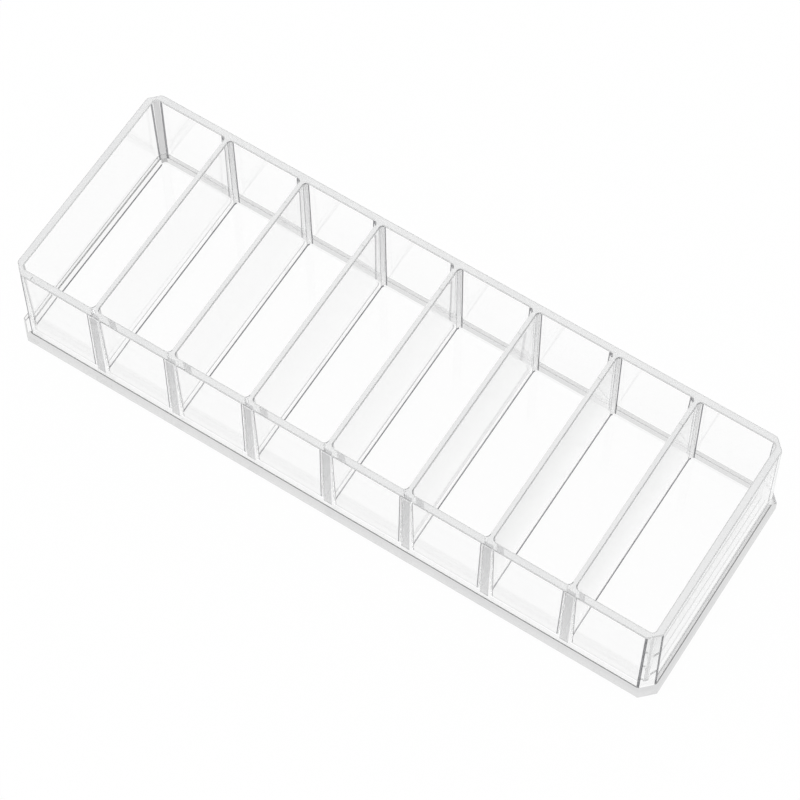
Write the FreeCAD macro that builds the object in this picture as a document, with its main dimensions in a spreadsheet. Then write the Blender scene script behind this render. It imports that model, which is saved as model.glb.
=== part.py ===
# Clear vanity organizer: a flanged base plate, a one-piece wall frame and seven dividers that part it into
# eight equal compartments. Millimetres. X runs along the length, Y from front to back, Z up from the table,
# with the origin under the middle of the plate.
import FreeCAD, Part
import math
import os
import re
import Sketcher

doc = FreeCAD.newDocument("VanityOrganizer")

# Driving dimensions. Lengths are millimetres and the draft is in degrees.
SIZES = [
    ("rim_length", 230.0, "outside length of the wall frame at the rim"),
    ("rim_width", 77.0, "outside width of the wall frame at the rim"),
    ("wall_height", 37.0, "floor of a compartment to the rim"),
    ("wall_thickness", 2.5, "wall at the rim"),
    ("web_thickness", 1.8, "divider at its top edge"),
    ("compartment_count", 8, "compartments in the row"),
    ("draft_angle", 0.9, "slope of every wall and divider face"),
    ("corner_facet", 3.6, "leg of the flat facet on each outer corner of the walls"),
    ("inner_radius", 1.4, "upright fillets inside each compartment"),
    ("foot_cove", 0.5, "fillet where walls and dividers meet the floor"),
    ("rim_round", 0.35, "rounding of the top edges"),
    ("plate_thickness", 4.8, "base plate"),
    ("plate_projection", 1.4, "plate beyond the foot of the walls"),
    ("plate_facet", 4.3, "leg of the flat facet on each corner of the plate"),
    ("plate_round", 0.5, "rounding of the outer edges of the plate"),
    ("seat_depth", 0.6, "depth to which walls and dividers are let into the plate"),
    ("housing_depth", 0.5, "depth at the rim to which a divider is let into a wall"),
    ("housing_margin", 0.4, "flat of a divider's end beyond its fillet, at the floor"),
    ("bond_gap", 0.05, "cement line beside a let-in piece"),
    ("toe_trim", 0.1, "toe of a cove that is left off, so that it ends in a clean edge"),
    ("overrun", 5.0, "how far a cut runs past what it cuts"),
]
sheet = doc.addObject("Spreadsheet::Sheet", "Sizes")
for row, (alias, value, note) in enumerate(SIZES, start=1):
    sheet.set(f"A{row}", alias)
    sheet.set(f"B{row}", str(value))
    sheet.set(f"C{row}", note)
    sheet.setAlias(f"B{row}", alias)
doc.recompute()

# Sizes that follow from the driving ones, as expressions on the sheet.
LEAN = "wall_height * tan(draft_angle)"  # what the draft adds to one side between the rim and the floor
SEAT_LEAN = "(wall_height + seat_depth) * tan(draft_angle)"
CAVITY_LENGTH = "(rim_length - 2 * wall_thickness)"
CAVITY_WIDTH = "(rim_width - 2 * wall_thickness)"
PITCH = f"(({CAVITY_LENGTH} + web_thickness) / compartment_count)"
COMPARTMENT_LENGTH = f"({PITCH} - web_thickness)"
TOE = "(foot_cove * tan(45 - draft_angle / 2) - toe_trim)"  # reach of a cove over the floor
FLOOR_INSET = f"({LEAN} + {TOE})"
FLOOR_CORNER = f"(inner_radius - {TOE})"
FLANGE_REACH = f"({LEAN} + plate_projection)"
RIM_HEIGHT = "(plate_thickness + wall_height)"
SEAT_HEIGHT = "(plate_thickness - seat_depth)"
END_HALF = f"(web_thickness / 2 + {LEAN} + inner_radius + housing_margin)"  # half a divider's widened end
FACET_GROWTH = "(2 - sqrt(2))"  # growth of a 45 degree facet's leg when the outline grows by one all round

TINY = 1e-4  # how near two places count as one when faces and edges are chosen


def cells(expression):
    """Puts the sheet's name before each size in an expression."""
    names = "|".join(alias for alias, value, note in SIZES)
    return re.sub(rf"\b({names})\b", r"Sizes.\1", expression)


def number(expression):
    """Value of an expression on the sheet."""
    return float(sheet.evalExpression(cells(expression)))


def grown(facet, reach):
    return f"({facet} + {reach} * {FACET_GROWTH})"


def new_body(name, label):
    body = doc.addObject("PartDesign::Body", name)
    body.Label = label
    return body


def new_sketch(body, name, height, x="0"):
    """A sketch parallel to the table at a height, with its centre at x along the length."""
    sketch = body.newObject("Sketcher::SketchObject", name)
    base = [feature for feature in body.Origin.OriginFeatures if feature.Role == "XY_Plane"]
    sketch.AttachmentSupport = [(base[0], "")]
    sketch.MapMode = "FlatFace"
    sketch.setExpression("AttachmentOffset.Base.z", cells(height))
    sketch.setExpression("AttachmentOffset.Base.x", cells(x))
    return sketch


def bind(sketch, kind, first, second, name, expression):
    """Dimension between two (geometry, point) pairs, tied to the sheet."""
    index = sketch.addConstraint(Sketcher.Constraint(kind, *first, *second, number(expression)))
    sketch.renameConstraint(index, name)
    sketch.setExpression(f"Constraints.{name}", cells(expression))


def closed_lines(sketch, corners):
    """Straight lines from corner to corner, joined at their ends."""
    points = [FreeCAD.Vector(x, y, 0) for x, y in corners]
    for start, end in zip(points, points[1:] + points[:1]):
        sketch.addGeometry(Part.LineSegment(start, end), False)
    for index in range(len(points)):
        following = (index + 1) % len(points)
        sketch.addConstraint(Sketcher.Constraint("Coincident", index, 2, following, 1))


def faceted_rectangle(sketch, length, width, facet):
    """Centred rectangle whose four corners are cut at 45 degrees."""
    x = number(length) / 2
    y = number(width) / 2
    leg = number(facet)
    right = [(x - leg, -y), (x, -y + leg), (x, y - leg), (x - leg, y)]
    left = [(-a, -b) for a, b in right]
    closed_lines(sketch, right + left)
    x_axis, y_axis = -1, -2
    for first, second, axis in [(0, 7, y_axis), (1, 6, y_axis), (2, 5, y_axis), (3, 4, y_axis),
                                (0, 3, x_axis), (1, 2, x_axis)]:
        sketch.addConstraint(Sketcher.Constraint("Symmetric", first, 1, second, 1, axis))
    bind(sketch, "DistanceX", (6, 1), (1, 1), "length", length)
    bind(sketch, "DistanceY", (0, 1), (3, 1), "width", width)
    bind(sketch, "DistanceX", (0, 1), (1, 1), "facet_x", facet)
    bind(sketch, "DistanceY", (0, 1), (1, 1), "facet_y", facet)


def rectangle(sketch, length, width):
    """Centred rectangle."""
    x = number(length) / 2
    y = number(width) / 2
    closed_lines(sketch, [(x, -y), (x, y), (-x, y), (-x, -y)])
    for index in (0, 2):
        sketch.addConstraint(Sketcher.Constraint("Vertical", index))
        sketch.addConstraint(Sketcher.Constraint("Horizontal", index + 1))
    sketch.addConstraint(Sketcher.Constraint("Symmetric", 0, 1, 2, 1, -1, 1))
    bind(sketch, "DistanceX", (2, 1), (0, 2), "length", length)
    bind(sketch, "DistanceY", (0, 1), (0, 2), "width", width)


def rounded_rectangle(sketch, length, width, radius):
    """Centred rectangle with round corners: sides are 0 to 3 and corners 4 to 7."""
    x = number(length) / 2
    y = number(width) / 2
    r = number(radius)
    sides = [((x, -y + r), (x, y - r)), ((x - r, y), (-x + r, y)),
             ((-x, y - r), (-x, -y + r)), ((-x + r, -y), (x - r, -y))]
    for start, end in sides:
        line = Part.LineSegment(FreeCAD.Vector(*start, 0), FreeCAD.Vector(*end, 0))
        sketch.addGeometry(line, False)
    centres = [(x - r, y - r), (-x + r, y - r), (-x + r, -y + r), (x - r, -y + r)]
    for index, centre in enumerate(centres):
        circle = Part.Circle(FreeCAD.Vector(*centre, 0), FreeCAD.Vector(0, 0, 1), r)
        start = index * math.pi / 2
        sketch.addGeometry(Part.ArcOfCircle(circle, start, start + math.pi / 2), False)
    for index in range(4):
        corner = index + 4
        sketch.addConstraint(Sketcher.Constraint("Tangent", index, 2, corner, 1))
        sketch.addConstraint(Sketcher.Constraint("Tangent", corner, 2, (index + 1) % 4, 1))
    for index in (0, 2):
        sketch.addConstraint(Sketcher.Constraint("Vertical", index))
        sketch.addConstraint(Sketcher.Constraint("Horizontal", index + 1))
    for corner in (5, 6, 7):
        sketch.addConstraint(Sketcher.Constraint("Equal", 4, corner))
    sketch.addConstraint(Sketcher.Constraint("Symmetric", 4, 3, 6, 3, -1, 1))
    bind(sketch, "DistanceX", (2, 1), (0, 1), "length", length)
    bind(sketch, "DistanceY", (3, 1), (1, 1), "width", width)
    index = sketch.addConstraint(Sketcher.Constraint("Radius", 4, r))
    sketch.renameConstraint(index, "radius")
    sketch.setExpression("Constraints.radius", cells(radius))


def pad(body, name, sketch, length, downwards=False):
    feature = body.newObject("PartDesign::Pad", name)
    feature.Profile = sketch
    feature.Reversed = downwards
    feature.setExpression("Length", cells(length))
    doc.recompute()
    return feature


def pocket(body, name, sketch, depth):
    """Cuts down from the sketch, and stops if nothing was cut."""
    before = body.Tip.Shape.Volume
    feature = body.newObject("PartDesign::Pocket", name)
    feature.Profile = sketch
    feature.setExpression("Length", cells(depth))
    doc.recompute()
    if not feature.Shape.Volume < before:
        raise RuntimeError(f"{name} cuts nothing")
    return feature


def repeat_in_row(body, name, feature, sketch, count, reach):
    """Repeats a feature along the length: count copies, the last one at reach from the first."""
    pattern = body.newObject("PartDesign::LinearPattern", name)
    pattern.Originals = [feature]
    pattern.Direction = (sketch, ["H_Axis"])
    pattern.setExpression("Length", cells(reach))
    pattern.setExpression("Occurrences", cells(count))
    body.Tip = pattern
    doc.recompute()
    return pattern


def draft(body, name, chosen):
    """Leans the upright faces for which chosen(face) is true, so that the piece is thinnest at the rim."""
    base = body.Tip
    numbered = list(enumerate(base.Shape.Faces, start=1))
    leaning = [f"Face{index}" for index, face in numbered if face.BoundBox.ZLength > TINY and chosen(face)]
    rim = [f"Face{index}" for index, face in numbered if face.BoundBox.ZMin > number(RIM_HEIGHT) - TINY]
    feature = body.newObject("PartDesign::Draft", name)
    feature.Base = (base, leaning)
    feature.NeutralPlane = (base, rim[:1])
    feature.setExpression("Angle", cells("draft_angle"))
    body.Tip = feature
    doc.recompute()
    if not feature.Shape.Volume > base.Shape.Volume:
        raise RuntimeError(f"{name} leans the wrong way")
    return feature


def fillet(body, name, chosen, radius):
    """Rounds the edges of the body for which chosen(edge) is true."""
    base = body.Tip
    edges = [f"Edge{index}" for index, edge in enumerate(base.Shape.Edges, start=1) if chosen(edge)]
    feature = body.newObject("PartDesign::Fillet", name)
    feature.Base = (base, edges)
    feature.setExpression("Radius", cells(radius))
    body.Tip = feature
    doc.recompute()
    return feature


def middle(edge):
    return edge.valueAt((edge.FirstParameter + edge.LastParameter) / 2)


def level(edge, height):
    box = edge.BoundBox
    return abs(box.ZMin - height) < TINY and abs(box.ZMax - height) < TINY


def upright(edge):
    box = edge.BoundBox
    return box.ZLength > number("wall_height") / 2


# Base plate: an octagonal slab whose top has a groove for the walls and dividers round eight islands, which
# are the floors of the compartments.
plate = new_body("BasePlate", "base_plate")
slab_outline = new_sketch(plate, "SlabOutline", "0")
faceted_rectangle(slab_outline, f"rim_length + 2 * {FLANGE_REACH}", f"rim_width + 2 * {FLANGE_REACH}",
                  "plate_facet")
pad(plate, "Slab", slab_outline, "plate_thickness")
fillet(plate, "SlabEdges", lambda edge: edge.BoundBox.ZLength < TINY, "plate_round")
groove_outline = new_sketch(plate, "GrooveOutline", "plate_thickness")
GROOVE_REACH = f"({SEAT_LEAN} + bond_gap)"
faceted_rectangle(groove_outline, f"rim_length + 2 * {GROOVE_REACH}", f"rim_width + 2 * {GROOVE_REACH}",
                  grown("corner_facet", GROOVE_REACH))
pocket(plate, "Groove", groove_outline, "seat_depth")
island_outline = new_sketch(plate, "IslandOutline", SEAT_HEIGHT, f"{PITCH} * (1 - compartment_count) / 2")
rounded_rectangle(island_outline, f"{COMPARTMENT_LENGTH} - 2 * {FLOOR_INSET} - 2 * bond_gap",
                  f"{CAVITY_WIDTH} - 2 * {FLOOR_INSET} - 2 * bond_gap", f"{FLOOR_CORNER} - bond_gap")
island = pad(plate, "Island", island_outline, "seat_depth")
repeat_in_row(plate, "Islands", island, island_outline, "compartment_count",
              f"{PITCH} * (compartment_count - 1)")

# Wall frame: four walls in one piece, with faceted outer corners, and housings for the dividers' ends.
frame = new_body("WallFrame", "wall_frame")
rim_outline = new_sketch(frame, "RimOutline", RIM_HEIGHT)
faceted_rectangle(rim_outline, "rim_length", "rim_width", "corner_facet")
pad(frame, "Walls", rim_outline, "wall_height + seat_depth", downwards=True)
cavity_outline = new_sketch(frame, "CavityOutline", RIM_HEIGHT)
rectangle(cavity_outline, CAVITY_LENGTH, CAVITY_WIDTH)
pocket(frame, "Cavity", cavity_outline, "wall_height")
draft(frame, "WallDraft", lambda face: True)


def inside_cavity(edge):
    place = middle(edge)
    reach_x = number(f"{CAVITY_LENGTH} / 2") + TINY
    reach_y = number(f"{CAVITY_WIDTH} / 2") + TINY
    return abs(place.x) < reach_x and abs(place.y) < reach_y


floor_height = number("plate_thickness")
rim_height = number(RIM_HEIGHT)
fillet(frame, "CavityCorners", lambda edge: upright(edge) and inside_cavity(edge), "inner_radius")
fillet(frame, "CavityCove", lambda edge: level(edge, floor_height) and inside_cavity(edge), "foot_cove")
foot_outline = new_sketch(frame, "FootOutline", "plate_thickness")
rounded_rectangle(foot_outline, f"{CAVITY_LENGTH} - 2 * {FLOOR_INSET}", f"{CAVITY_WIDTH} - 2 * {FLOOR_INSET}",
                  FLOOR_CORNER)
pocket(frame, "Foot", foot_outline, "seat_depth + overrun")
housing_outline = new_sketch(frame, "HousingOutline", RIM_HEIGHT, f"{PITCH} * (1 - compartment_count / 2)")
rectangle(housing_outline, f"2 * {END_HALF} + 2 * bond_gap",
          f"{CAVITY_WIDTH} + 2 * housing_depth + 2 * bond_gap")
housing = pocket(frame, "Housing", housing_outline, "wall_height + seat_depth + overrun")
repeat_in_row(frame, "Housings", housing, housing_outline, "compartment_count - 1",
              f"{PITCH} * (compartment_count - 2)")


def on_mouth(edge):
    """True for rim edges that run along the inner or the outer outline, not into a housing."""
    place = middle(edge)
    wall_middle_y = number("(rim_width - wall_thickness) / 2")
    wall_middle_x = number("(rim_length - wall_thickness) / 2")
    outer = abs(place.y) > wall_middle_y or abs(place.x) > wall_middle_x
    return outer or inside_cavity(edge)


fillet(frame, "RimEdges", lambda edge: level(edge, rim_height) and on_mouth(edge), "rim_round")

# Divider: a tapering web with widened ends that are let into the walls, and a foot that is let into the
# plate. The two compartments beside it are cut from a block. It is made once, in the middle of the row.
divider = new_body("Divider", "divider_pattern")
block_outline = new_sketch(divider, "BlockOutline", SEAT_HEIGHT)
rectangle(block_outline, f"2 * {END_HALF}", f"{CAVITY_WIDTH} + 2 * housing_depth")
pad(divider, "Block", block_outline, "wall_height + seat_depth")
for side, sign in (("Left", "-1"), ("Right", "1")):
    mouth_outline = new_sketch(divider, f"{side}MouthOutline", RIM_HEIGHT, f"{PITCH} / 2 * {sign}")
    rectangle(mouth_outline, COMPARTMENT_LENGTH, CAVITY_WIDTH)
    pocket(divider, f"{side}Compartment", mouth_outline, "wall_height")


def beside_web(item):
    """True inside the block: neither on its long sides nor past the compartments' ends."""
    place = middle(item) if isinstance(item, Part.Edge) else item.CenterOfMass
    reach_x = number(END_HALF) - TINY
    reach_y = number(f"{CAVITY_WIDTH} / 2") + TINY
    return abs(place.x) < reach_x and abs(place.y) < reach_y


draft(divider, "WebDraft", beside_web)
fillet(divider, "EndFillets", lambda edge: upright(edge) and beside_web(edge), "inner_radius")
fillet(divider, "FootCove", lambda edge: level(edge, floor_height) and beside_web(edge), "foot_cove")
for side, sign in (("Left", "-1"), ("Right", "1")):
    floor_outline = new_sketch(divider, f"{side}FloorOutline", "plate_thickness", f"{PITCH} / 2 * {sign}")
    rounded_rectangle(floor_outline, f"{COMPARTMENT_LENGTH} - 2 * {FLOOR_INSET}",
                      f"{CAVITY_WIDTH} - 2 * {FLOOR_INSET}", FLOOR_CORNER)
    pocket(divider, f"{side}Floor", floor_outline, "seat_depth + overrun")
fillet(divider, "TopEdges", lambda edge: level(edge, rim_height) and beside_web(edge), "rim_round")

pieces = [plate, frame]
for index in range(1, int(number("compartment_count"))):
    copy = new_body(f"Divider{index}", f"divider_{index}")
    clone = copy.newObject("PartDesign::FeatureBase", f"DividerCopy{index}")
    clone.BaseFeature = divider
    copy.Tip = clone
    copy.setExpression(".Placement.Base.x", cells(f"{PITCH} * ({index} - compartment_count / 2)"))
    pieces.append(copy)
doc.recompute()

for item in doc.Objects:
    if "Invalid" in item.State or "Error" in item.State:
        raise RuntimeError(f"{item.Name} failed: {item.State}")
for piece in pieces:
    if piece.Shape.isNull() or not piece.Shape.isValid() or len(piece.Shape.Solids) != 1:
        raise RuntimeError(f"{piece.Label} isn't one valid solid")

os.makedirs("parts", exist_ok=True)
for piece in pieces:
    piece.Shape.exportStep(f"parts/{piece.Label}.step")
    box = piece.Shape.BoundBox
    print(f"{piece.Label}: {piece.Shape.Volume:.1f} mm3, {box.XLength:.2f} x {box.YLength:.2f} x "
          f"{box.ZLength:.2f} mm, foot at {box.ZMin:.2f} mm")
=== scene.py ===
import math

import bmesh
import bpy
from mathutils import Matrix, Vector


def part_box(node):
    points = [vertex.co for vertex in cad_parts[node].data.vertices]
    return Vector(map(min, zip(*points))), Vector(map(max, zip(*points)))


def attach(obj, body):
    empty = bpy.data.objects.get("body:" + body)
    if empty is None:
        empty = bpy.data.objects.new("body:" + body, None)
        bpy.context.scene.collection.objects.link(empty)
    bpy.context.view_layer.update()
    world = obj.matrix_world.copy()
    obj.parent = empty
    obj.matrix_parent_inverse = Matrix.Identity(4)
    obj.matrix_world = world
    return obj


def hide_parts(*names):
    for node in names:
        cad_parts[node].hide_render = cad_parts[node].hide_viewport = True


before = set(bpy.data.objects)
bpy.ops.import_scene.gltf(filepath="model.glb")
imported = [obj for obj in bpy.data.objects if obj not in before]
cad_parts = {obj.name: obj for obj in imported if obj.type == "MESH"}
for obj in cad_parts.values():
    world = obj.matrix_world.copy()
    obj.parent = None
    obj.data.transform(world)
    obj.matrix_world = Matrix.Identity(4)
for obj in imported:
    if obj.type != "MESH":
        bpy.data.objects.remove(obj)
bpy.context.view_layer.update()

mm = 0.001
tiny = 0.001 * mm  # closer than this counts as the same place or direction

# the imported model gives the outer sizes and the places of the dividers
plateLow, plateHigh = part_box("base_plate")
footLow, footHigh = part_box("wall_frame")
dividerNames = sorted(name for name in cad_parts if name.startswith("divider_"))
floorHeight = plateHigh.z
seatHeight = footLow.z
rimHeight = footHigh.z

tray = {
    "draft": math.radians(0.9),  # slope of every wall and divider face
    "wallThickness": 2.5 * mm,  # at the rim
    "webThickness": 1.8 * mm,  # a divider's top edge
    "cornerFacet": 3.6 * mm,  # leg of the flat on each outer corner, at the rim
    "innerRadius": 1.4 * mm,  # upright fillets in a compartment
    "footCove": 0.5 * mm,  # where walls and dividers meet the floor
    "rimRound": 0.35 * mm,
    "outerRound": 0.45 * mm,  # on the upright outer edges
    "tickDrop": 2.0 * mm,  # height of the painted dark tick of shade at the top of some fillets
    "seam": 0.02 * mm,  # clearance in the joints
    "overrun": 3.0 * mm,  # how far a cutter runs past what it cuts
    "filletSteps": 12,
    "coveSteps": 6,
    "rimSteps": 5,
    "outerSteps": 2,
    "uprightShare": 0.9,  # an upright edge rises by more than this share of its length
    "smoothAngle": math.radians(30),  # sharper edges stay crisp
    "flatWeight": 100,  # broad faces alone set the shading along their edges
}
lean = math.tan(tray["draft"])
rimLength = footHigh.x - footLow.x - 2 * lean * (rimHeight - seatHeight)
rimWidth = footHigh.y - footLow.y - 2 * lean * (rimHeight - seatHeight)
cavityLength = rimLength - 2 * tray["wallThickness"]
cavityWidth = rimWidth - 2 * tray["wallThickness"]
compartments = len(dividerNames) + 1
pitch = (cavityLength + tray["webThickness"]) / compartments


# each face carries three masks, from 0 to 1: edge for painted grey shade and dark lines, satin for matt
# and joint for hidden
maskNames = ("edge", "satin", "joint")
# the first value of each finish is painted shade: how grey or dark the face is drawn
finishes = {
    "flat": (0.0, 0.0, 0.0),
    "rim": (0.0, 1.0, 0.0),
    "rimEdge": (0.4, 0.3, 0.0),
    "rimCorner": (0.85, 0.3, 0.0),  # painted dark shade where the rim turns into a divider
    "line": (1.0, 0.3, 0.0),  # painted dark lines of shade on outer edges, ticks, side coves and the two sides of a fillet
    "pale": (0.08, 0.2, 0.0),
    "backFillet": (0.3, 0.2, 0.0),
    "trayCorner": (0.62, 0.2, 0.0),
    "flange": (0.45, 1.0, 0.0),
    "flangeFoot": (0.93, 0.3, 0.0),  # painted dark line of shade round the foot of the walls
    "flangeEdge": (0.7, 0.3, 0.0),
    "webEdge": (0.65, 0.3, 0.0),
    "joint": (0.0, 0.0, 1.0),  # a solvent joint doesn't show in clear plastic
    "dividerEndShade": (1.0, 0.3, 0.62),  # painted grey shade, partly see-through, on the front ends of the dividers
}


def mathNode(nodes, links, operation, *values):
    # each value is a number or comes from another node
    node = nodes.new("ShaderNodeMath")
    node.operation = operation
    for socket, value in zip(node.inputs, values):
        if isinstance(value, float):
            socket.default_value = value
        else:
            links.new(value, socket)
    return node.outputs["Value"]


def mixColours(nodes, links, share, first, second):
    mix = nodes.new("ShaderNodeMix")
    mix.data_type = "RGBA"
    links.new(share, mix.inputs["Factor"])
    links.new(first, mix.inputs["A"])
    links.new(second, mix.inputs["B"])
    return mix.outputs["Result"]


def objectNoise(nodes, links, scale, detail):
    place = nodes.new("ShaderNodeTexCoord")
    noise = nodes.new("ShaderNodeTexNoise")
    noise.inputs["Detail"].default_value = detail
    links.new(place.outputs["Object"], noise.inputs["Vector"])
    links.new(scale, noise.inputs["Scale"])
    return noise.outputs["Fac"]


def faceMask(nodes, name):
    mask = nodes.new("ShaderNodeAttribute")
    mask.attribute_name = name
    return mask.outputs["Fac"]


moulding = {
    "rippleDetail": 1.0,
    "patchDetail": 2.0,
    "patchStart": 0.45,  # where the noise is above this, handling starts to show
    "patchFull": 0.7,  # and from here on it shows in full
}


# one effect for all the clear plastic: flow ripples, a breath of haze, satin tops and painted grey shade
# on the edges
def makeMouldedSurface():
    group = bpy.data.node_groups.new("mouldedSurface", "ShaderNodeTree")
    sockets = group.interface
    for name in ("Ripple Scale", "Patch Scale", "Haze", "Satin Roughness"):
        sockets.new_socket(name, in_out="INPUT", socket_type="NodeSocketFloat")
    for name in ("Clear Tint", "Worn Tint", "Edge Tint"):
        sockets.new_socket(name, in_out="INPUT", socket_type="NodeSocketColor")
    sockets.new_socket("Tint", in_out="OUTPUT", socket_type="NodeSocketColor")
    for name in ("Roughness", "Height", "Alpha"):
        sockets.new_socket(name, in_out="OUTPUT", socket_type="NodeSocketFloat")
    nodes = group.nodes
    links = group.links
    entry = nodes.new("NodeGroupInput")
    leaving = nodes.new("NodeGroupOutput")
    # edge is each face's share of painted shade
    edge, satin, joint = (faceMask(nodes, name) for name in maskNames)

    # slow waves that the melt leaves; the polished flats stay true
    ripples = objectNoise(nodes, links, entry.outputs["Ripple Scale"], moulding["rippleDetail"])
    height = mathNode(nodes, links, "MULTIPLY", ripples, satin)
    links.new(height, leaving.inputs["Height"])

    # patches left by handling
    patches = nodes.new("ShaderNodeMapRange")
    patches.inputs["From Min"].default_value = moulding["patchStart"]
    patches.inputs["From Max"].default_value = moulding["patchFull"]
    smudge = objectNoise(nodes, links, entry.outputs["Patch Scale"], moulding["patchDetail"])
    links.new(smudge, patches.inputs["Value"])
    handled = patches.outputs["Result"]

    haze = mathNode(nodes, links, "MULTIPLY", handled, entry.outputs["Haze"])
    roughness = mathNode(nodes, links, "MULTIPLY_ADD", satin, entry.outputs["Satin Roughness"], haze)
    links.new(roughness, leaving.inputs["Roughness"])

    worn = mathNode(nodes, links, "MULTIPLY", handled, satin)
    tint = mixColours(nodes, links, worn, entry.outputs["Clear Tint"], entry.outputs["Worn Tint"])
    # painted shade: the edge mask mixes in a dark tint for the lines and grey bands that bent light
    # shows in clear plastic
    withPaintedShade = mixColours(nodes, links, edge, tint, entry.outputs["Edge Tint"])
    links.new(withPaintedShade, leaving.inputs["Tint"])

    shown = mathNode(nodes, links, "SUBTRACT", 1.0, joint)
    links.new(shown, leaving.inputs["Alpha"])
    return group


mouldedSurface = makeMouldedSurface()


def clearMaterial(name, look):
    material = bpy.data.materials.new(name)
    material.use_nodes = True
    nodes = material.node_tree.nodes
    links = material.node_tree.links
    shader = nodes["Principled BSDF"]
    shader.inputs["Transmission Weight"].default_value = 1.0
    shader.inputs["IOR"].default_value = look["ior"]
    surface = nodes.new("ShaderNodeGroup")
    surface.node_tree = mouldedSurface
    surface.inputs["Ripple Scale"].default_value = look["rippleScale"]
    surface.inputs["Patch Scale"].default_value = look["patchScale"]
    surface.inputs["Haze"].default_value = look["haze"]
    surface.inputs["Satin Roughness"].default_value = look["satinRoughness"]
    surface.inputs["Clear Tint"].default_value = (*look["clearTint"], 1)
    surface.inputs["Worn Tint"].default_value = (*look["wornTint"], 1)
    surface.inputs["Edge Tint"].default_value = (*look["paintedShadeTint"], 1)
    bump = nodes.new("ShaderNodeBump")
    bump.inputs["Strength"].default_value = 1.0
    bump.inputs["Distance"].default_value = look["rippleHeight"]
    depth = nodes.new("ShaderNodeVolumeAbsorption")
    depth.inputs["Color"].default_value = (*look["depthColour"], 1)
    depth.inputs["Density"].default_value = look["depthGrey"]
    links.new(surface.outputs["Tint"], shader.inputs["Base Color"])
    links.new(surface.outputs["Roughness"], shader.inputs["Roughness"])
    links.new(surface.outputs["Alpha"], shader.inputs["Alpha"])
    links.new(surface.outputs["Height"], bump.inputs["Height"])
    links.new(bump.outputs["Normal"], shader.inputs["Normal"])
    links.new(depth.outputs["Volume"], nodes["Material Output"].inputs["Volume"])
    return material


wallLook = {
    "ior": 1.3,  # lower than the real plastic's, so that less light is trapped in the plate
    "depthGrey": 4.5,  # light lost per metre, which greys the long ways inside walls and dividers
    "depthColour": (0.0, 0.015, 0.02),
    "rippleScale": 45.0,
    "rippleHeight": 0.0008 * mm,
    "patchScale": 25.0,
    "haze": 0.004,
    "satinRoughness": 0.02,
    "clearTint": (1.0, 1.0, 1.0),
    "wornTint": (0.92, 0.925, 0.935),
    # dark colour of the painted shade lines on walls and dividers
    "paintedShadeTint": (0.05, 0.05, 0.055),
}
# the dividers and the plate are the walls' plastic with a few values of their own
dividerLook = {
    **wallLook,
    "depthGrey": 4.0,
    "clearTint": (0.99, 0.99, 0.99),
    "wornTint": (0.92, 0.925, 0.93),
}
plateLook = {
    **wallLook,
    "depthGrey": 1.0,
    "rippleScale": 35.0,
    "satinRoughness": 0.04,
    # the plate's painted shade lines are nearly black
    "paintedShadeTint": (0.01, 0.01, 0.011),
}
wallPlastic = clearMaterial("clearWalls", wallLook)
dividerPlastic = clearMaterial("clearDividers", dividerLook)
platePlastic = clearMaterial("clearBase", plateLook)
print("materials made")


# helpers
def placeMesh(name, mesh):
    piece = bpy.data.objects.new(name, mesh)
    bpy.context.scene.collection.objects.link(piece)
    return piece


def newPiece(name, bm):
    mesh = bpy.data.meshes.new(name)
    bm.to_mesh(mesh)
    bm.free()
    return placeMesh(name, mesh)


def discard(piece):
    mesh = piece.data
    bpy.data.objects.remove(piece)
    bpy.data.meshes.remove(mesh)


def addBlock(bm, length, width, low, high, centreX=0.0):
    size = Matrix.Diagonal((length, width, high - low, 1))
    place = Matrix.Translation((centreX, 0, (low + high) / 2))
    return bmesh.ops.create_cube(bm, size=1.0, matrix=place @ size)["verts"]


def spreadFoot(bm, corners, length, width, outward, centreX=0.0):
    # the lower corners move outwards, or inwards where outward is negative
    middle = sum(corner.co.z for corner in corners) / len(corners)
    foot = [corner for corner in corners if corner.co.z < middle]
    share = (1 + 2 * outward / length, 1 + 2 * outward / width, 1)
    bmesh.ops.scale(bm, vec=share, space=Matrix.Translation((-centreX, 0, 0)), verts=foot)


def bevelEdges(bm, edges, size, steps):
    bmesh.ops.bevel(bm, geom=edges, offset=size, segments=steps, affect="EDGES",
                    profile=0.5, material=-1, clamp_overlap=True)


def uprightEdges(bm):
    return [edge for edge in bm.edges
            if abs(edge.verts[0].co.z - edge.verts[1].co.z) > tray["uprightShare"] * edge.calc_length()]


def levelItems(items, height):
    # the edges or faces that lie at this height
    return [item for item in items
            if all(abs(vert.co.z - height) < tiny for vert in item.verts)]


def splitFaces(bm, faces, point, across):
    # only these faces are parted along the plane
    geometry = faces + list({item for face in faces for item in face.edges[:] + face.verts[:]})
    bmesh.ops.bisect_plane(bm, geom=geometry, dist=tiny, plane_co=point, plane_no=across)


def applyBoolean(piece, cutter, operation):
    modifier = piece.modifiers.new("cut", "BOOLEAN")
    modifier.operation = operation
    modifier.solver = "EXACT"
    modifier.object = cutter
    graph = bpy.context.evaluated_depsgraph_get()
    mesh = bpy.data.meshes.new_from_object(piece.evaluated_get(graph))
    piece.modifiers.clear()
    old = piece.data
    piece.data = mesh
    bpy.data.meshes.remove(old)
    mesh.name = piece.name


# walls and dividers start as one leaning block with all the compartments in it
def cutCorners(bm):
    # each outer corner ends in a flat facet that leans as the walls do
    leg = tray["cornerFacet"]
    for sideX in (-1, 1):
        for sideY in (-1, 1):
            point = (sideX * (rimLength - leg) / 2, sideY * (rimWidth - leg) / 2, rimHeight)
            outward = Vector((sideX, sideY, 0)).normalized() + Vector((0, 0, lean))
            geometry = bm.verts[:] + bm.edges[:] + bm.faces[:]
            cut = bmesh.ops.bisect_plane(bm, geom=geometry, dist=tiny, plane_co=point,
                                         plane_no=outward, clear_outer=True)
            outline = [item for item in cut["geom_cut"] if isinstance(item, bmesh.types.BMEdge)]
            bmesh.ops.contextual_create(bm, geom=outline)


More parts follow.
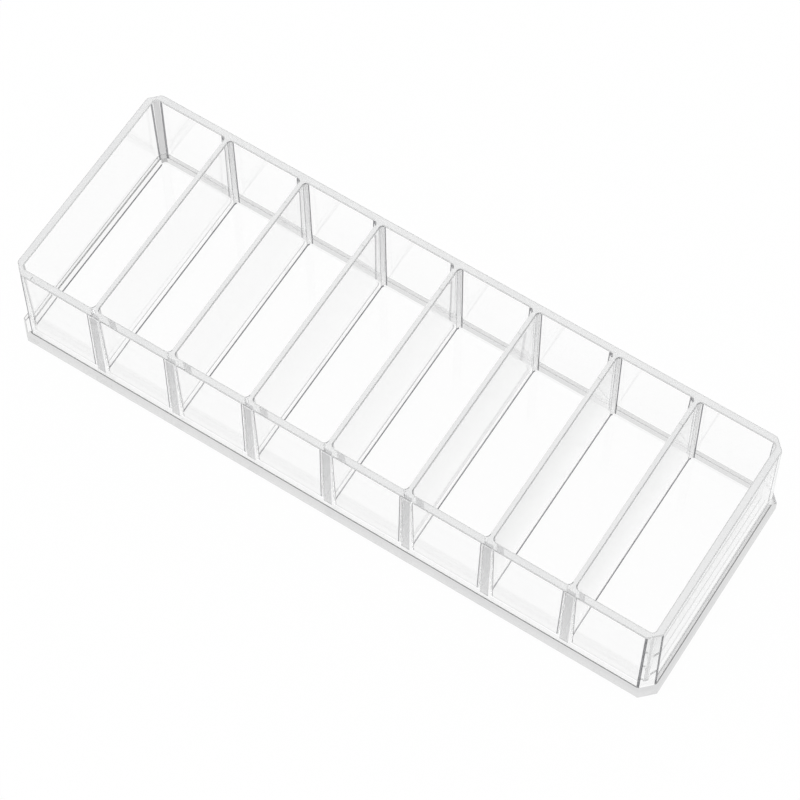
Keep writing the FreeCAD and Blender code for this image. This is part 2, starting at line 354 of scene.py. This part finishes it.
def addCompartment(target, centreX):
    bm = bmesh.new()
    top = rimHeight + tray["overrun"]
    length = pitch - tray["webThickness"] + 2 * lean * tray["overrun"]
    width = cavityWidth + 2 * lean * tray["overrun"]
    corners = addBlock(bm, length, width, floorHeight, top, centreX)
    spreadFoot(bm, corners, length, width, -lean * (top - floorHeight), centreX)
    bevelEdges(bm, uprightEdges(bm), tray["innerRadius"], tray["filletSteps"])
    bevelEdges(bm, levelItems(bm.edges, floorHeight), tray["footCove"], tray["coveSteps"])

    # below the floor it runs straight down, past the seat of the walls
    floor = levelItems(bm.faces, floorHeight)
    foot = bmesh.ops.extrude_face_region(bm, geom=floor)["geom"]
    moved = [item for item in foot if isinstance(item, bmesh.types.BMVert)]
    bmesh.ops.translate(bm, verts=moved, vec=(0, 0, seatHeight - tray["overrun"] - floorHeight))
    bmesh.ops.delete(bm, geom=floor, context="FACES")
    bmesh.ops.recalc_face_normals(bm, faces=bm.faces)
    shape = bpy.data.meshes.new("compartment")
    bm.to_mesh(shape)
    bm.free()
    target.from_mesh(shape)
    bpy.data.meshes.remove(shape)


def makeWallBlock():
    bm = bmesh.new()
    corners = addBlock(bm, rimLength, rimWidth, seatHeight, rimHeight)
    spreadFoot(bm, corners, rimLength, rimWidth, lean * (rimHeight - seatHeight))
    cutCorners(bm)
    bevelEdges(bm, uprightEdges(bm), tray["outerRound"], tray["outerSteps"])
    bmesh.ops.recalc_face_normals(bm, faces=bm.faces)
    block = newPiece("wallBlock", bm)

    bm = bmesh.new()
    for index in range(compartments):
        addCompartment(bm, pitch * (index - (compartments - 1) / 2))
    cutter = newPiece("compartments", bm)
    applyBoolean(block, cutter, "DIFFERENCE")
    discard(cutter)

    bm = bmesh.new()
    bm.from_mesh(block.data)
    rimEdges = [edge for edge in levelItems(bm.edges, rimHeight)
                if edge.is_manifold and edge.calc_face_angle() > tray["smoothAngle"]]
    bevelEdges(bm, rimEdges, tray["rimRound"], tray["rimSteps"])

    # joints end at the floor and the painted dark ticks of shade at their own height, so faces are
    # parted there
    for height in (floorHeight, rimHeight - tray["tickDrop"]):
        splitFaces(bm, bm.faces[:], (0, 0, height), (0, 0, 1))
    bm.to_mesh(block.data)
    bm.free()
    return block


wallBlock = makeWallBlock()
print("wall block", len(wallBlock.data.polygons), "faces")


# where the painted dark lines of shade go
shadeLines = {
    "toeAngle": math.radians(60),  # a side cove gets a painted dark line of shade where it tilts up less than this
    "wallSteps": 2,  # steps of a fillet that get a painted dark line of shade, beside the long wall
    "webSteps": 1,  # and beside the divider
}
jointTilt = lean / 2  # joint faces are upright and tilt less than this
coveTilt = 2 * lean  # walls tilt less than this and coves more
toeTilt = math.sin(shadeLines["toeAngle"])
quarter = math.pi / 2
filletStep = quarter / tray["filletSteps"]
slack = filletStep / 4
cornerStart = cavityLength / 2 - 2 * tray["innerRadius"]  # only the tray's own corners lie past this


# each face's finish, and with it its painted shade: dark lines, grey bands or none
def wallFinish(face):
    centre = face.calc_center_median()
    normal = face.normal
    if centre.z < floorHeight - tiny or abs(normal.z) < jointTilt:
        return "joint"  # whatever shows is above the floor and leans
    if normal.z > math.cos(tray["draft"]):
        return "rim"
    turn = math.atan2(abs(normal.x), abs(normal.y))  # 0 for the long walls, a quarter for webs and ends
    inCorner = slack < turn < quarter - slack
    inside = abs(centre.x) < cavityLength / 2 and abs(centre.y) < cavityWidth / 2
    atEnd = abs(centre.x) > cornerStart
    if centre.z > rimHeight - tray["rimRound"]:
        return "rimCorner" if inside and inCorner and not atEnd else "rimEdge"
    if normal.z > coveTilt:
        onEndWall = atEnd and turn > quarter - slack
        return "line" if onEndWall and normal.z < toeTilt else "pale"
    if not inCorner:
        return "flat"
    if not inside:
        onFacet = abs(turn - quarter / 2) < slack
        return "flat" if onFacet else "line"
    if atEnd:
        return "pale" if centre.x > 0 and centre.y > 0 else "trayCorner"  # painted shade in the tray's inner corners, lighter in the back right one
    if normal.x < 0 and centre.z > rimHeight - tray["tickDrop"]:
        return "line"  # a painted dark tick of shade on the left of each divider
    if turn < shadeLines["wallSteps"] * filletStep or turn > quarter - shadeLines["webSteps"] * filletStep:
        return "line"
    # painted shade, greyer on the fillets at the back than at the front
    return "backFillet" if centre.y > 0 else "pale"


plate = {
    "facet": 4.3 * mm,  # leg of the flat on each corner
    "edgeRound": 0.5 * mm,
    "edgeSteps": 6,
    "footLine": 0.35 * mm,  # breadth of the painted dark line of shade round the foot of the walls
    "endAngle": math.radians(45),  # the left end's upper round gets painted grey shade where it tilts up more than this
}
footReach = footHigh.x + tray["seam"] + tiny
footBreadth = footHigh.y + tray["seam"] + tiny
flangeEnd = cavityLength / 2  # the flange is parted here, as its left end gets less painted shade


def flangeEndFinish(normal):
    # painted shade: the right end is grey, and the left end has only a grey edge
    if normal.x > 0:
        return "flange" if normal.z > tiny else "flangeEdge"
    return "flangeEdge" if normal.z > math.sin(plate["endAngle"]) else "pale"


# the plate's finishes: painted grey shade on the flange, and painted dark lines at its edges and round
# the foot of the walls
def plateFinish(face):
    normal = face.normal
    reach = max(abs(vert.co.x) for vert in face.verts)
    breadth = max(abs(vert.co.y) for vert in face.verts)
    if normal.z < -1 + tiny:
        return "flat"  # the underside
    if reach < footReach and breadth < footBreadth:
        isFloor = normal.z > 1 - tiny and face.calc_center_median().z > floorHeight - tiny
        return "flat" if isFloor else "joint"
    if normal.z > 1 - tiny:
        # painted shade: the dark line round the foot of the walls is lighter at the back
        if reach < footReach + plate["footLine"] and breadth < footBreadth + plate["footLine"]:
            return "rimEdge" if min(vert.co.y for vert in face.verts) > 0 else "flangeFoot"
        return "pale" if max(vert.co.x for vert in face.verts) < tiny - flangeEnd else "flange"
    if abs(normal.y) < tiny:
        return flangeEndFinish(normal)
    # painted shade: the lower rounds are darker at the front than at the back
    if normal.z < -tiny:
        return "pale" if normal.y > 0 else "flangeEdge"
    return "flange"


def makePlate():
    bm = bmesh.new()
    addBlock(bm, plateHigh.x - plateLow.x, plateHigh.y - plateLow.y, plateLow.z, plateHigh.z)
    bevelEdges(bm, uprightEdges(bm), plate["facet"], 1)
    bevelEdges(bm, levelItems(bm.edges, plateLow.z) + levelItems(bm.edges, plateHigh.z),
               plate["edgeRound"], plate["edgeSteps"])
    piece = newPiece("base_plate_clear", bm)

    # the groove that the walls and dividers stand in is a seam wider than they are
    bm = bmesh.new()
    bm.from_mesh(wallBlock.data)
    bm.normal_update()
    for vert in bm.verts:
        vert.co += vert.normal * tray["seam"]
    groove = newPiece("groove", bm)
    applyBoolean(piece, groove, "DIFFERENCE")
    discard(groove)

    # the flange is the part of the top that reaches past the foot of the walls
    bm = bmesh.new()
    bm.from_mesh(piece.data)
    flange = [face for face in levelItems(bm.faces, floorHeight)
              if any(abs(vert.co.x) > footReach or abs(vert.co.y) > footBreadth for vert in face.verts)]
    bmesh.ops.inset_region(bm, faces=flange, thickness=plate["footLine"], use_boundary=True,
                           use_even_offset=True)
    for side in (-1, 1):
        longSides = [face for face in levelItems(bm.faces, floorHeight)
                     if any(abs(vert.co.y) > footBreadth for vert in face.verts)]
        splitFaces(bm, longSides, (side * flangeEnd, 0, 0), (1, 0, 0))
    bm.to_mesh(piece.data)
    bm.free()
    return piece


def housingBox(node, seam):
    # the upright slot in each long wall that takes the ends of a divider
    low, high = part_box(node)
    bm = bmesh.new()
    addBlock(bm, high.x - low.x - 2 * seam, high.y - low.y - 2 * seam,
             low.z - tray["overrun"], high.z + tray["overrun"], (low.x + high.x) / 2)
    return newPiece("housing", bm)


divider = {
    "endShadeDrop": 3.0 * mm,  # the painted grey shade in the front ends starts this far below the rim
}
endShadeHalf = tray["webThickness"] / 2 + lean * (rimHeight - floorHeight)
endShadeTop = rimHeight - divider["endShadeDrop"]


def dividerFinish(face):
    centre = face.calc_center_median()
    normal = face.normal
    webX = pitch * round(centre.x / pitch)  # a divider stands at each whole pitch
    # painted grey shade on the front end of each divider, seen through the front wall
    if normal.y < -1 + tiny and abs(centre.x - webX) < endShadeHalf and centre.z < endShadeTop:
        return "dividerEndShade"
    finish = wallFinish(face)
    alongWeb = abs(normal.x) > abs(normal.y)
    if finish == "rimEdge" and alongWeb:
        return "webEdge" if normal.x > 0 else "pale"  # painted shade is darker on one edge of the web than on the other
    if finish == "pale" and alongWeb and coveTilt < normal.z < toeTilt:
        return "line"  # a painted dark line of shade on the cove along the foot of the web
    return finish


def makeDivider(node):
    piece = placeMesh(node + "_clear", wallBlock.data.copy())
    housing = housingBox(node, tray["seam"])
    applyBoolean(piece, housing, "INTERSECT")
    discard(housing)

    # the middle of each end face, as broad as the foot of the web, is where the painted grey shade goes,
    # on the front ends only
    low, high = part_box(node)
    centreX = (low.x + high.x) / 2
    bm = bmesh.new()
    bm.from_mesh(piece.data)
    for point, across in (((centreX - endShadeHalf, 0, 0), (1, 0, 0)),
                          ((centreX + endShadeHalf, 0, 0), (1, 0, 0)),
                          ((0, 0, endShadeTop), (0, 0, 1))):
        ends = [face for face in bm.faces if abs(face.normal.y) > 1 - tiny]
        splitFaces(bm, ends, point, across)
    bm.to_mesh(piece.data)
    bm.free()
    return piece


def makeWalls():
    piece = placeMesh("wall_frame_clear", wallBlock.data.copy())
    for node in dividerNames:
        housing = housingBox(node, 0.0)
        applyBoolean(piece, housing, "DIFFERENCE")
        discard(housing)
    return piece


def finishPiece(piece, node, material, chooseFinish):
    bm = bmesh.new()
    bm.from_mesh(piece.data)
    masks = [bm.faces.layers.float.new(name) for name in maskNames]
    for face in bm.faces:
        for mask, value in zip(masks, finishes[chooseFinish(face)]):
            face[mask] = value
        face.smooth = True
    for edge in bm.edges:
        edge.smooth = edge.is_manifold and edge.calc_face_angle() < tray["smoothAngle"]
    openEdges = sum(not edge.is_manifold for edge in bm.edges)
    volume = bm.calc_volume() / mm ** 3
    bm.to_mesh(piece.data)
    bm.free()
    piece.data.materials.append(material)
    weighted = piece.modifiers.new("broadFlats", "WEIGHTED_NORMAL")  # only the rounds shade smoothly
    weighted.keep_sharp = True
    weighted.weight = tray["flatWeight"]
    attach(piece, "root")
    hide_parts(node)
    print(f"{piece.name}: {len(piece.data.polygons)} faces, {openEdges} open edges, {volume:.0f} mm3")


finishPiece(makePlate(), "base_plate", platePlastic, plateFinish)
finishPiece(makeWalls(), "wall_frame", wallPlastic, wallFinish)
for dividerName in dividerNames:
    finishPiece(makeDivider(dividerName), dividerName, dividerPlastic, dividerFinish)
discard(wallBlock)


studio = {
    "floorReach": 3.0,  # from its middle to its sides
    "floorDrop": 0.1 * mm,  # keeps the floor off the underside of the plate
    "floorColour": (0.9, 0.9, 0.9),
    "floorGlow": 0.98,  # share of even white where the floor is looked at; the rest keeps the shadow
    "skyBack": 1.0,  # the sky is white behind the tray and softer in front of it
    "skyFront": 0.85,
    "skyTurn": 0.35,  # half the breadth of the change from one to the other
    "lampPlace": Vector((-0.9, -0.9, 1.3)),
    "lampSize": 1.2,
    "lampPower": 5.0,
    "bounces": 32,  # light crosses many faces of the clear walls
}


def anyRay(nodes, links, kinds):
    # 1 for the kinds of ray that are named, 0 for the others
    path = nodes.new("ShaderNodeLightPath")
    found = path.outputs[kinds[0]]
    for kind in kinds[1:]:
        found = mathNode(nodes, links, "MAXIMUM", found, path.outputs[kind])
    return found


def makeFloor():
    bm = bmesh.new()
    bmesh.ops.create_grid(bm, x_segments=1, y_segments=1, size=studio["floorReach"],
                          matrix=Matrix.Translation((0, 0, -studio["floorDrop"])))
    material = bpy.data.materials.new("paleFloor")
    material.use_nodes = True
    nodes = material.node_tree.nodes
    links = material.node_tree.links
    shader = nodes["Principled BSDF"]
    shader.inputs["Base Color"].default_value = (*studio["floorColour"], 1)
    shader.inputs["Roughness"].default_value = 1.0
    shader.inputs["Specular IOR Level"].default_value = 0.0
    glow = nodes.new("ShaderNodeEmission")
    looking = anyRay(nodes, links, ("Is Camera Ray", "Is Glossy Ray", "Is Transmission Ray"))
    share = mathNode(nodes, links, "MULTIPLY", looking, studio["floorGlow"])
    mixed = nodes.new("ShaderNodeMixShader")
    links.new(share, mixed.inputs["Fac"])
    links.new(shader.outputs["BSDF"], mixed.inputs[1])
    links.new(glow.outputs["Emission"], mixed.inputs[2])
    links.new(mixed.outputs["Shader"], nodes["Material Output"].inputs["Surface"])
    floor = newPiece("floor", bm)
    floor.data.materials.append(material)


def makeSky():
    world = bpy.data.worlds.new("studioSky")
    bpy.context.scene.world = world
    world.use_nodes = True
    nodes = world.node_tree.nodes
    links = world.node_tree.links
    direction = nodes.new("ShaderNodeTexCoord")
    split = nodes.new("ShaderNodeSeparateXYZ")
    ramp = nodes.new("ShaderNodeMapRange")
    ramp.interpolation_type = "SMOOTHSTEP"
    ramp.inputs["From Min"].default_value = -studio["skyTurn"]
    ramp.inputs["From Max"].default_value = studio["skyTurn"]
    ramp.inputs["To Min"].default_value = studio["skyFront"]
    ramp.inputs["To Max"].default_value = studio["skyBack"]
    links.new(direction.outputs["Generated"], split.inputs["Vector"])
    links.new(split.outputs["Y"], ramp.inputs["Value"])
    looking = anyRay(nodes, links, ("Is Camera Ray",))
    strength = mathNode(nodes, links, "MAXIMUM", ramp.outputs["Result"], looking)
    links.new(strength, nodes["Background"].inputs["Strength"])
    nodes["Background"].inputs["Color"].default_value = (1, 1, 1, 1)


def makeLamp():
    light = bpy.data.lights.new("softbox", "AREA")
    light.shape = "SQUARE"
    light.size = studio["lampSize"]
    light.energy = studio["lampPower"]
    lamp = bpy.data.objects.new("softbox", light)
    lamp.location = studio["lampPlace"]
    lamp.rotation_euler = (-studio["lampPlace"]).to_track_quat("-Z", "Y").to_euler()
    bpy.context.scene.collection.objects.link(lamp)


shot = {
    "azimuth": math.radians(33.04),
    "elevation": math.radians(63.58),
    "roll": math.radians(-0.47),
    "distance": 936.6 * mm,
    "aim": Vector((3.95, -2.82, 20.0)) * mm,
    "lens": 136.8,  # this and the sensor are in millimetres, as in the editor
    "sensor": 36.0,
    "farClip": 10.0,
}


def makeCamera():
    data = bpy.data.cameras.new("camera")
    data.sensor_width = shot["sensor"]
    data.lens = shot["lens"]
    data.clip_end = shot["farClip"]
    camera = bpy.data.objects.new("camera", data)
    bpy.context.scene.collection.objects.link(camera)
    turn = Matrix.Rotation(shot["azimuth"], 4, "Z")
    tilt = Matrix.Rotation(math.pi / 2 - shot["elevation"], 4, "X")
    back = Matrix.Translation((0, 0, shot["distance"]))
    roll = Matrix.Rotation(shot["roll"], 4, "Z")
    camera.matrix_world = Matrix.Translation(shot["aim"]) @ turn @ tilt @ back @ roll
    bpy.context.scene.camera = camera


makeFloor()
makeSky()
makeLamp()
makeCamera()
bpy.context.scene.view_settings.view_transform = "Standard"
cycles = bpy.context.scene.cycles
cycles.max_bounces = studio["bounces"]
cycles.transmission_bounces = studio["bounces"]
cycles.glossy_bounces = studio["bounces"]
cycles.transparent_max_bounces = studio["bounces"]
print("studio set up")
